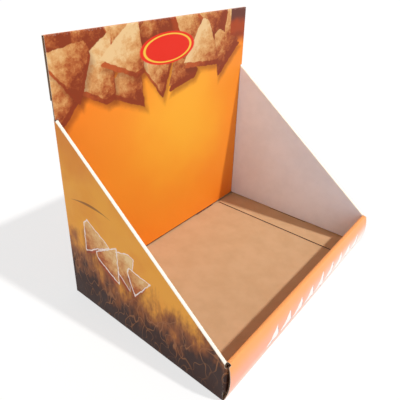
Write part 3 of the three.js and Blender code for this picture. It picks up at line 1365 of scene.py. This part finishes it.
@dataclass(frozen=True)
class CutEdgeFinish:
    """The board's cut edge: white sheet, brown liner and fluted paper between, with painted shade."""

    sheet: str = "DCCDBD"
    # The liner and flute tones are darker than the paper: partly its own brown, partly painted shade
    # on the cut edge.
    liner: str = "7A5A42"
    flute: str = "5A3E2B"
    # The hollow tone is painted shade in the hollows between the flutes.
    hollow: str = "1E120C"

    def make(self, effects: Effects) -> bpy.types.Material:
        """Makes the material.

        Args:
            effects: The shared node groups.

        Returns:
            The finished material.
        """
        look = Material("cut_edge", effects)
        add = look.wires
        x, y, z = add.split(look.place)
        depth = add.node("ShaderNodeAttribute", attribute_name=DEPTH).outputs["Fac"]
        run = add.math("ADD", add.math("ADD", x, y), z)
        wave = add.math("SINE", add.math("MULTIPLY", run, 2 * math.pi / FLUTE_PITCH))
        middle = add.math("ADD", add.math("MULTIPLY", wave, 0.33), 0.5)
        away = add.math("ABSOLUTE", add.math("SUBTRACT", depth, middle))
        # Painted shade: the hollows beside the fluted paper are dark.
        colour = add.blend(add.span(away, 0.16, 0.08), tone(self.hollow), tone(self.flute))
        colour = add.blend(add.span(depth, 0.8, 0.84), colour, tone(self.liner))
        colour = add.blend(add.span(depth, 0.3, 0.26), colour, tone(self.sheet))
        return look.finish(colour, 0.85, 0.05)


@dataclass(frozen=True)
class HeaderPrint:
    """The front panel's print: heaped crisps over orange that glows in the middle."""

    glow: str = "FFB335"
    field_tone: str = "FA942B"
    edge: str = "F47E20"
    ground: str = "A8451F"
    badge: str = "E8301F"
    badge_rim: str = "F6C84A"
    strip: str = "6B3A30"
    # The colour of the painted shade at the inner front panel's foot.
    foot: str = "6B3A30"
    glow_place: Point = (30.0, 168.0)
    glow_reach: Point = (161.0, 172.0)
    badge_place: Point = (2.0, 263.0)
    badge_reach: Point = (46.0, 18.0)
    strip_start: float = 126.0
    crisps: tuple[Crisp, ...] = (
        Crisp(-150, 292, 0.5, 21, -8, 0.52), Crisp(-112, 296, -0.6, 20, -8, 0.48),
        Crisp(-66, 290, 1.1, 20, -9, 0.2), Crisp(-14, 294, 0.2, 19, -8, 0.48),
        Crisp(40, 290, -0.9, 21, -8, 0.12), Crisp(92, 294, 0.7, 20, -9, 0.36),
        Crisp(136, 288, -0.3, 19, -8, 0.2), Crisp(-148, 246, 1.3, 20, -8, 0.2),
        Crisp(-62, 236, 0.4, 18, -8, 0.26), Crisp(-106, 254, 2.6, 22, -10, 0.02),
        Crisp(28, 240, 1.9, 18, -8, 0.4), Crisp(-16, 250, -1.2, 20, -9, 0.1),
        Crisp(112, 250, -0.7, 18, -8, 0.36), Crisp(68, 258, 0.1, 21, -9, 0.0),
        Crisp(-136, 266, 0.9, 18, -8, 0.3), Crisp(-62, 270, 2.5, 20, -9, -0.04),
    )

    def make(self, effects: Effects) -> bpy.types.Material:
        """Makes the material.

        Args:
            effects: The shared node groups.

        Returns:
            The finished material.
        """
        look = Material("header_print", effects, (1.0, 0.0, 0.0), 0.12)
        add = look.wires
        x, _, z = add.split(look.place)
        flat = add.join(x, z)
        away = add.oval(flat, self.glow_place, self.glow_reach)
        streak = add.math("MULTIPLY", add.math("SUBTRACT", add.noise(flat, 0.012, 2.0), 0.5), 0.5)
        away = add.math("ADD", away, streak)
        colour = add.blend(add.span(away, 0.05, 0.8), tone(self.glow), tone(self.field_tone))
        colour = add.blend(add.span(away, 0.7, 1.4), colour, tone(self.edge))
        heap = add.math("ADD", z, add.math("MULTIPLY", add.noise(flat, 0.03, 2.0), 24.0))
        colour = add.blend(add.span(heap, 258.0, 275.0), colour, tone(self.ground))
        for crisp in self.crisps:
            colour = lay_crisp(add, effects, crisp, flat, colour)["Color"]
        colour = self.add_strip(add, flat, colour)
        colour = self.add_badge(add, flat, colour)
        # Painted shade at the foot, where the panel stands on the base.
        colour = painted_foot_shade(add, look.place, colour, self.foot)
        return look.finish(colour, look.roughness(), 0.03, coat=0.03, wear=0.2)

    def add_strip(self, add: Wiring, flat: Value, colour: Value) -> Socket:
        """Lays the darker strip at the right end, which fades to orange below.

        Args:
            add: The node tree's wiring.
            flat: The place on the panel, in millimetres.
            colour: The colour so far.

        Returns:
            The new colour.
        """
        x, up, _ = add.split(flat)
        cloud = add.noise(flat, 0.06, 3.0)
        level = add.math("ADD", up, add.math("MULTIPLY", cloud, 14.0))
        tint = add.blend(add.span(level, 294.0, 282.0), tone(self.strip), tone(self.ground))
        right = add.span(x, self.strip_start - 0.4, self.strip_start + 0.4)
        inside = add.math("MULTIPLY", right, add.span(level, 266.0, 276.0))
        return add.blend(inside, colour, tint)

    def add_badge(self, add: Wiring, flat: Value, colour: Value) -> Socket:
        """Lays a plain red oval with a yellow ring on the print.

        Args:
            add: The node tree's wiring.
            flat: The place on the panel, in millimetres.
            colour: The colour so far.

        Returns:
            The new colour.
        """
        away = add.oval(flat, self.badge_place, self.badge_reach)
        colour = add.blend(add.span(away, 1.05, 0.98), colour, tone(self.badge))
        ring = add.math("MULTIPLY", add.span(away, 0.8, 0.84), add.span(away, 0.92, 0.88))
        return add.blend(ring, colour, tone(self.badge_rim))


@dataclass(frozen=True)
class SidePrint:
    """The side walls' print: gold above, a dark ragged ground below and a few crisps."""

    gold: str = "EBA23C"
    amber: str = "DE8830"
    rust: str = "8A4A28"
    dark: str = "361B13"
    strand: str = "A06840"
    rim: str = "F6E6DC"
    stroke: str = "7A4A2C"
    stroke_place: Point = (64.0, 137.0)
    stroke_reach: float = 32.0
    stroke_bend: float = -0.004
    crisps: tuple[Crisp, ...] = (
        Crisp(64, 98, 0.5, 12, -6, 0.08), Crisp(20, 86, -0.7, 13, -7, 0.02),
        Crisp(40, 80, 1.6, 12, -6, 0.14), Crisp(0, 76, 0.9, 9, -4, 0.16),
    )

    def make(self, effects: Effects) -> bpy.types.Material:
        """Makes the material.

        Args:
            effects: The shared node groups.

        Returns:
            The finished material.
        """
        look = Material("side_print", effects, (0.0, 1.0, 0.0), 0.1)
        add = look.wires
        _, y, z = add.split(look.place)
        flat = add.join(y, z)
        broad = add.noise(flat, 0.018, 3.0)
        colour = add.blend(add.span(z, 205.0, 150.0), tone(self.amber), tone(self.gold))
        colour = add.blend(add.span(broad, 0.42, 0.72, 0.0, 0.7), colour, tone(self.amber))
        colour = self.add_ground(add, flat, colour)
        colour = self.add_stroke(add, flat, colour)
        for crisp in self.crisps:
            laid = lay_crisp(add, effects, crisp, flat, colour)
            colour = add.blend(laid["Rim"], laid["Color"], tone(self.rim))
        return look.finish(colour, look.roughness(), 0.03, coat=0.03, wear=0.2)

    def add_ground(self, add: Wiring, flat: Value, colour: Value) -> Socket:
        """Lays the dark ragged ground with its curled strands along the foot.

        Args:
            add: The node tree's wiring.
            flat: The place on the panel, in millimetres.
            colour: The colour so far.

        Returns:
            The new colour.
        """
        y, z, _ = add.split(flat)
        reeds = add.noise(add.vector("MULTIPLY", flat, (0.22, 0.06, 0.0)), 1.0, 4.0, 0.65)
        clumps = add.noise(add.vector("MULTIPLY", flat, (0.05, 0.03, 0.0)), 1.0, 3.0, 0.6)
        rise = add.math("ADD", add.math("MULTIPLY", reeds, 44.0), add.math("MULTIPLY", clumps, 90.0))
        ends = add.span(add.math("ABSOLUTE", add.math("SUBTRACT", y, -8.0)), 40.0, 110.0, 0.0, 22.0)
        level = add.math("SUBTRACT", add.math("ADD", z, 58.0), add.math("ADD", rise, ends))
        colour = add.blend(add.span(level, 70.0, 34.0, 0.0, 0.92), colour, tone(self.rust))
        curls = add.noise(add.vector("MULTIPLY", flat, (0.06, 0.028, 0.0)), 1.0, 1.0, 0.4)
        thread = add.math("ABSOLUTE", add.math("SUBTRACT", curls, 0.5))
        moved = add.vector("ADD", add.vector("MULTIPLY", flat, (0.05, 0.04, 0.0)), (9.0, 4.0, 0.0))
        other = add.noise(moved, 1.0, 1.0, 0.4)
        cross = add.math("ABSOLUTE", add.math("SUBTRACT", other, 0.5))
        colour = add.blend(add.span(level, 46.0, 8.0), colour, tone(self.dark))
        lines = add.math("MAXIMUM", add.span(thread, 0.016, 0.005), add.span(cross, 0.012, 0.004))
        lines = add.math("MULTIPLY", lines, add.span(level, 52.0, 34.0))
        lines = add.math("MULTIPLY", lines, add.span(level, -26.0, 26.0, 0.0, 0.75))
        return add.blend(lines, colour, tone(self.strand))

    def add_stroke(self, add: Wiring, flat: Value, colour: Value) -> Socket:
        """Lays one plain curved stroke above the crisps.

        Args:
            add: The node tree's wiring.
            flat: The place on the panel, in millimetres.
            colour: The colour so far.

        Returns:
            The new colour.
        """
        y, z, _ = add.split(flat)
        centre, height = self.stroke_place
        reach = self.stroke_reach
        along = add.math("SUBTRACT", y, centre)
        bend = add.math("MULTIPLY", add.math("MULTIPLY", along, along), self.stroke_bend)
        away = add.math("ABSOLUTE", add.math("SUBTRACT", z, add.math("ADD", bend, height)))
        width = add.span(add.math("ABSOLUTE", along), 0.0, reach, 1.6, 0.1)
        mask = add.span(add.math("SUBTRACT", away, width), 0.3, -0.3, 0.0, 0.75)
        mask = add.math("MULTIPLY", mask, add.span(add.math("ABSOLUTE", along), reach, reach - 2))
        return add.blend(mask, colour, tone(self.stroke))


@dataclass(frozen=True)
class BackPrint:
    """The outer back's print: the same orange as the header, darker towards the foot."""

    orange: str = "F08A30"
    brown: str = "7A4228"

    def make(self, effects: Effects) -> bpy.types.Material:
        """Makes the material.

        Args:
            effects: The shared node groups.

        Returns:
            The finished material.
        """
        look = Material("back_print", effects, (1.0, 0.0, 0.0), 0.12)
        add = look.wires
        _, _, z = add.split(look.place)
        level = add.math("ADD", z, add.math("MULTIPLY", add.noise(look.place, 0.02, 3.0), 30.0))
        colour = add.blend(add.span(level, 110.0, 20.0), tone(self.orange), tone(self.brown))
        return look.finish(colour, look.roughness(), 0.03, coat=0.03, wear=0.3)


@dataclass(frozen=True)
class LipPrint:
    """The lip's print: orange at the crest, paler and pinker towards the foot, partly a painted glare.
    """

    orange: str = "F5A663"
    peach: str = "F8A98B"
    # The pale tone is partly print and partly a painted glare on the bowed face near the foot.
    pale: str = "F7C8B4"
    # The light tone is a painted glare, low on the lip towards its right end.
    light: str = "FCEFE8"
    mark: str = "FBF3F0"
    mark_shade: str = "B79C9E"
    mark_shift: Point = (1.8, -1.8)
    mark_half_pitch: float = 13.0
    mark_height: float = 24.0
    row_start: float = -97.0
    row_end: float = 130.0

    def make(self, effects: Effects) -> bpy.types.Material:
        """Makes the material.

        Args:
            effects: The shared node groups.

        Returns:
            The finished material.
        """
        look = Material("lip_print", effects, (0.0, 0.0, 1.0), 0.1)
        add = look.wires
        x, _, z = add.split(look.place)
        flat = add.join(x, z)
        level = add.math("ADD", z, add.math("MULTIPLY", add.noise(flat, 0.03, 2.0), 8.0))
        colour = add.blend(add.span(level, 50.0, 32.0), tone(self.orange), tone(self.peach))
        # Paler towards the foot: partly print, partly painted glare.
        colour = add.blend(add.span(level, 30.0, 10.0), colour, tone(self.pale))
        # Painted glare: a near white patch low on the lip towards the right.
        right = add.math("MULTIPLY", add.span(x, -70.0, 150.0), add.span(level, 44.0, 22.0))
        colour = add.blend(right, colour, tone(self.light))
        colour = self.add_marks(add, flat, self.mark_shift, colour, self.mark_shade)
        colour = self.add_marks(add, flat, (0.0, 0.0), colour, self.mark)
        return look.finish(colour, look.roughness(0.34, 0.42), 0.03, coat=0.12)

    def add_marks(self, add: Wiring, flat: Value, shift: Point, colour: Value, code: str) -> Socket:
        """Lays a row of plain triangles, set apart along the lip.

        Args:
            add: The node tree's wiring.
            flat: The place on the lip.
            shift: How far the row is moved, for its printed shadow.
            colour: The colour under the row.
            code: The triangles' colour.

        Returns:
            The colour with the row on it.
        """
        x, up, _ = add.split(add.vector("SUBTRACT", flat, (*shift, 0.0)))
        lean = add.math("ADD", x, add.math("MULTIPLY", up, -0.35))
        half = self.mark_half_pitch
        beside = add.math("PINGPONG", add.math("ADD", lean, half), half)
        above = add.math("SUBTRACT", up, self.mark_height)
        edge = add.math("ADD", beside, add.math("MULTIPLY", above, 0.62))
        sides = add.math("SUBTRACT", edge, 7.5)
        low = add.math("SUBTRACT", -7.0, above)
        outside = add.math("MAXIMUM", sides, low)
        grown = add.math("ADD", outside, add.math("MULTIPLY", add.noise(flat, 0.1, 2.0), 9.0))
        shape = add.span(grown, 4.2, 3.4)
        left = add.span(x, self.row_start, self.row_start + 1)
        right = add.span(x, self.row_end, self.row_end - 1)
        ends = add.math("MULTIPLY", left, right)
        return add.blend(add.math("MULTIPLY", shape, ends), colour, tone(code))


def seen_rays(add: Wiring) -> Socket:
    """Gives 1 for the rays that show a surface in the picture and 0 for those that light it.

    Args:
        add: The node tree's wiring.

    Returns:
        The value.
    """
    rays = add.node("ShaderNodeLightPath").outputs
    seen = add.math("MAXIMUM", rays["Is Camera Ray"], rays["Is Glossy Ray"])
    return add.math("MAXIMUM", seen, rays["Is Transmission Ray"])


@dataclass(frozen=True)
class Sun:
    """One far lamp: where it stands as seen from the box, and its light."""

    name: str
    towards: tuple[float, float, float]
    strength: float
    spread: float
    tint: tuple[float, float, float]

    def add(self) -> None:
        """Adds the lamp to the scene."""
        data = bpy.data.lights.new(self.name, "SUN")
        data.energy = self.strength
        data.angle = math.radians(self.spread)
        data.color = self.tint
        lamp = bpy.data.objects.new(self.name, data)
        lamp.rotation_euler = Vector(self.towards).to_track_quat("Z", "Y").to_euler()
        bpy.context.scene.collection.objects.link(lamp)


@dataclass(frozen=True)
class Studio:
    """The floor, the lamps, the world and the camera."""

    camera_place: tuple[float, float, float] = (-374.2, -242.0, 360.9)
    yaw: float = 49.0
    pitch: float = 27.8
    roll: float = 0.51
    lens: float = 38.36
    film_width: float = 36.0
    shift: Point = (0.0495, -0.0555)
    floor_size: float = 6000.0
    floor_drop: float = 0.2
    floor_tone: float = 0.9
    floor_glow: float = 1.1
    glow_share: float = 0.62
    ambient: float = 0.33
    suns: tuple[Sun, ...] = (
        Sun("key", (0.26, -0.68, 1.0), 2.38, 3.0, (1.0, 0.985, 0.96)),
        Sun("fill", (-1.0, -0.35, 0.28), 0.74, 40.0, (0.96, 0.98, 1.0)),
    )

    def build(self) -> None:
        """Makes the whole studio."""
        self.add_camera()
        self.add_floor()
        for sun in self.suns:
            sun.add()
        self.set_world()

    def add_camera(self) -> None:
        """Sets the camera where the photograph was taken."""
        data = bpy.data.cameras.new("camera")
        data.lens = self.lens
        data.sensor_width = self.film_width
        data.shift_x, data.shift_y = self.shift
        data.clip_start = 0.01
        camera = bpy.data.objects.new("camera", data)
        bpy.context.scene.collection.objects.link(camera)
        yaw, pitch, roll = (math.radians(angle) for angle in (self.yaw, self.pitch, self.roll))
        level = math.cos(pitch)
        ahead = Vector((math.sin(yaw) * level, math.cos(yaw) * level, -math.sin(pitch)))
        right = Vector((math.cos(yaw), -math.sin(yaw), 0.0))
        up = right.cross(ahead)
        right, up = (
            right * math.cos(roll) + up * math.sin(roll),
            up * math.cos(roll) - right * math.sin(roll),
        )
        turn = Matrix((right, up, -ahead)).transposed()
        camera.matrix_world = Matrix.Translation(Vector(self.camera_place) * MM) @ turn.to_4x4()
        bpy.context.scene.camera = camera

    def add_floor(self) -> None:
        """Lays a plain pale floor that keeps the box's shadow."""
        mesh = bmesh.new()
        bmesh.ops.create_grid(mesh, x_segments=1, y_segments=1, size=self.floor_size * MM)
        data = bpy.data.meshes.new("floor")
        mesh.to_mesh(data)
        mesh.free()
        floor = bpy.data.objects.new("floor", data)
        floor.location.z = -self.floor_drop * MM
        bpy.context.scene.collection.objects.link(floor)
        material = bpy.data.materials.new("pale_floor")
        material.use_nodes = True
        tree = material.node_tree
        tree.nodes.clear()
        add = Wiring(tree)
        pale = (self.floor_tone, self.floor_tone, self.floor_tone, 1.0)
        white = (1.0, 1.0, 1.0, 1.0)
        matt = add.node("ShaderNodeBsdfDiffuse", {"Color": pale})
        glow = add.node("ShaderNodeEmission", {"Color": white, "Strength": self.floor_glow})
        # The glow is there only for the picture: it whitens the floor round the shadow.
        share = add.math("MULTIPLY", seen_rays(add), self.glow_share)
        mixed = add.node("ShaderNodeMixShader", {0: share, 1: matt.outputs[0], 2: glow.outputs[0]})
        out = add.node("ShaderNodeOutputMaterial")
        add.feed(out.inputs["Surface"], mixed.outputs[0])
        data.materials.append(material)

    def set_world(self) -> None:
        """Sets an even pale light all round, which the camera sees as white."""
        world = bpy.data.worlds.new("studio")
        bpy.context.scene.world = world
        world.use_nodes = True
        tree = world.node_tree
        tree.nodes.clear()
        add = Wiring(tree)
        strength = add.span(seen_rays(add), 0.0, 1.0, self.ambient, 1.0)
        white = (1.0, 1.0, 1.0, 1.0)
        light = add.node("ShaderNodeBackground", {"Color": white, "Strength": strength})
        out = add.node("ShaderNodeOutputWorld")
        add.feed(out.inputs["Surface"], light.outputs[0])


def main() -> None:
    """Builds the box and its studio."""
    logging.basicConfig(level=logging.INFO, format="%(message)s")
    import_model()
    sizes = BoxSizes()
    Studio().build()
    effects = Effects()
    materials = {
        Finish.SIDE_PRINT: SidePrint().make(effects),
        Finish.HEADER_PRINT: HeaderPrint().make(effects),
        Finish.BACK_PRINT: BackPrint().make(effects),
        Finish.LIP_PRINT: LipPrint().make(effects),
        Finish.WHITE: WhiteFinish().make(effects),
        Finish.KRAFT: KraftFinish().make(effects),
        Finish.CUT_EDGE: CutEdgeFinish().make(effects),
    }
    parts: list[SheetPart] = [
        SideWall("left_wall_and_base", sizes, side=-1),
        SideWall("right_wall_and_flange", sizes, side=1),
        Header("back_and_header", sizes),
        Lip("front_lip", sizes),
        CornerFlap("left_corner_flap", sizes, side=-1),
        CornerFlap("right_corner_flap", sizes, side=1),
    ]
    for part in parts:
        part.build(materials)
    bpy.context.scene.view_settings.view_transform = "Standard"


if __name__ == "__main__":
    main()
